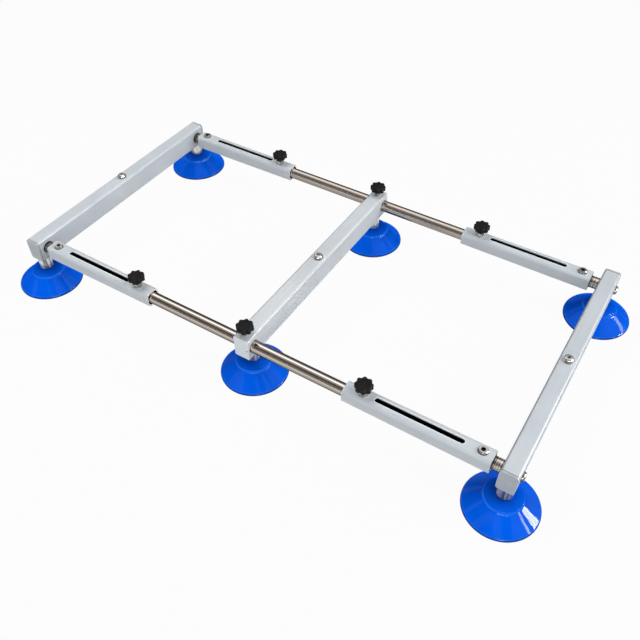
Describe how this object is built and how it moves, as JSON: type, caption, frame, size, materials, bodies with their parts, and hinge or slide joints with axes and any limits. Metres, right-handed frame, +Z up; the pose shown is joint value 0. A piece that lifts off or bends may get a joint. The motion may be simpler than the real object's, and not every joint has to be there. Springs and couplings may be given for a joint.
{
  "type": "tv panel carrier",
  "caption": "Adjustable aluminium frame with blue suction cups under its crossbars and star-knob clamps on telescoping rails, for lifting and carrying flat display panels.",
  "frame": {"origin": "centre of the footprint, on the plane of the cup rims", "axes": "+X along the rails towards the right end, +Y from the near rail to the far rail, +Z up"},
  "size_m": [0.933, 0.509, 0.1097],
  "materials": {
    "grey_aluminium": "satin silver-grey anodised extrusion",
    "bare_aluminium": "bare milled bar with sawn ends",
    "cap_plastic": "flat grey moulded plastic",
    "stainless": "polished stainless steel",
    "zinc_steel": "bright plated steel fasteners",
    "black_plastic": "black moulded plastic",
    "nylon": "natural nylon",
    "blue_rubber": "glossy blue moulded rubber"
  },
  "bodies": {
    "middle_carriage": {"middle_crossbar": "bare_aluminium", "middle_near_cup": "blue_rubber", "middle_far_cup": "blue_rubber", "middle_cup_stems": "stainless", "middle_cup_inserts": "zinc_steel", "middle_centre_screw": "zinc_steel", "middle_centre_washer": "zinc_steel"},
    "rails": {"near_rail_tube": "stainless", "far_rail_tube": "stainless"},
    "left_end": {"left_crossbar": "grey_aluminium", "left_crossbar_caps": "cap_plastic", "left_near_arm": "grey_aluminium", "left_far_arm": "grey_aluminium", "left_spigots": "stainless", "left_spigot_bolts": "zinc_steel", "left_arm_screws": "zinc_steel", "left_clamp_nuts": "zinc_steel", "left_near_cup": "blue_rubber", "left_far_cup": "blue_rubber", "left_cup_stems": "stainless", "left_cup_inserts": "zinc_steel", "left_backing_plates": "zinc_steel", "left_centre_screw": "zinc_steel", "left_centre_washer": "zinc_steel", "left_centre_nut": "zinc_steel"},
    "right_end": {"right_crossbar": "grey_aluminium", "right_crossbar_caps": "cap_plastic", "right_near_arm": "grey_aluminium", "right_far_arm": "grey_aluminium", "right_spigots": "stainless", "right_spigot_bolts": "zinc_steel", "right_arm_screws": "zinc_steel", "right_clamp_nuts": "zinc_steel", "right_near_cup": "blue_rubber", "right_far_cup": "blue_rubber", "right_cup_stems": "stainless", "right_cup_inserts": "zinc_steel", "right_backing_plates": "zinc_steel", "right_centre_screw": "zinc_steel", "right_centre_washer": "zinc_steel", "right_centre_nut": "zinc_steel"},
    "left_near_foot": {"left_near_tip": "nylon"},
    "left_near_screw": {"left_near_knob": "black_plastic", "left_near_stud": "zinc_steel"},
    "left_far_foot": {"left_far_tip": "nylon"},
    "left_far_screw": {"left_far_knob": "black_plastic", "left_far_stud": "zinc_steel"},
    "right_near_foot": {"right_near_tip": "nylon"},
    "right_near_screw": {"right_near_knob": "black_plastic", "right_near_stud": "zinc_steel"},
    "right_far_foot": {"right_far_tip": "nylon"},
    "right_far_screw": {"right_far_knob": "black_plastic", "right_far_stud": "zinc_steel"},
    "middle_near_foot": {"middle_near_tip": "nylon"},
    "middle_near_screw": {"middle_near_knob": "black_plastic", "middle_near_stud": "zinc_steel"},
    "middle_far_foot": {"middle_far_tip": "nylon"},
    "middle_far_screw": {"middle_far_knob": "black_plastic", "middle_far_stud": "zinc_steel"}
  },
  "joints": [
    {"name": "rail_slide", "type": "slide", "parent": "middle_carriage", "child": "rails", "axis": [1, 0, 0], "range_m": [-0.04, 0.04]},
    {"name": "left_end_slide", "type": "slide", "parent": "rails", "child": "left_end", "axis": [1, 0, 0], "range_m": [0, 0.105]},
    {"name": "right_end_slide", "type": "slide", "parent": "rails", "child": "right_end", "axis": [-1, 0, 0], "range_m": [0, 0.105]},
    {"name": "left_near_lift", "type": "slide", "parent": "left_end", "child": "left_near_foot", "axis": [0, 0, 1], "range_m": [0, 0.0025]},
    {"name": "left_near_turn", "type": "hinge", "parent": "left_near_foot", "child": "left_near_screw", "pos_m": [-0.2005, -0.195, 0.1], "axis": [0, 0, 1], "range_deg": [0, 721]},
    {"name": "left_far_lift", "type": "slide", "parent": "left_end", "child": "left_far_foot", "axis": [0, 0, 1], "range_m": [0, 0.0025]},
    {"name": "left_far_turn", "type": "hinge", "parent": "left_far_foot", "child": "left_far_screw", "pos_m": [-0.2005, 0.195, 0.1], "axis": [0, 0, 1], "range_deg": [0, 721]},
    {"name": "right_near_lift", "type": "slide", "parent": "right_end", "child": "right_near_foot", "axis": [0, 0, 1], "range_m": [0, 0.0025]},
    {"name": "right_near_turn", "type": "hinge", "parent": "right_near_foot", "child": "right_near_screw", "pos_m": [0.2005, -0.195, 0.1], "axis": [0, 0, 1], "range_deg": [0, 721]},
    {"name": "right_far_lift", "type": "slide", "parent": "right_end", "child": "right_far_foot", "axis": [0, 0, 1], "range_m": [0, 0.0025]},
    {"name": "right_far_turn", "type": "hinge", "parent": "right_far_foot", "child": "right_far_screw", "pos_m": [0.2005, 0.195, 0.1], "axis": [0, 0, 1], "range_deg": [0, 721]},
    {"name": "middle_near_lift", "type": "slide", "parent": "middle_carriage", "child": "middle_near_foot", "axis": [0, 0, 1], "range_m": [0, 0.0025]},
    {"name": "middle_near_turn", "type": "hinge", "parent": "middle_near_foot", "child": "middle_near_screw", "pos_m": [0.006, -0.195, 0.1], "axis": [0, 0, 1], "range_deg": [0, 721]},
    {"name": "middle_far_lift", "type": "slide", "parent": "middle_carriage", "child": "middle_far_foot", "axis": [0, 0, 1], "range_m": [0, 0.0025]},
    {"name": "middle_far_turn", "type": "hinge", "parent": "middle_far_foot", "child": "middle_far_screw", "pos_m": [0.006, 0.195, 0.1], "axis": [0, 0, 1], "range_deg": [0, 721]}
  ],
  "couplings": [
    {"joint": "left_near_turn", "follows": "left_near_lift", "rad_per_m": 5026.5},
    {"joint": "left_far_turn", "follows": "left_far_lift", "rad_per_m": 5026.5},
    {"joint": "right_near_turn", "follows": "right_near_lift", "rad_per_m": 5026.5},
    {"joint": "right_far_turn", "follows": "right_far_lift", "rad_per_m": 5026.5},
    {"joint": "middle_near_turn", "follows": "middle_near_lift", "rad_per_m": 5026.5},
    {"joint": "middle_far_turn", "follows": "middle_far_lift", "rad_per_m": 5026.5}
  ]
}
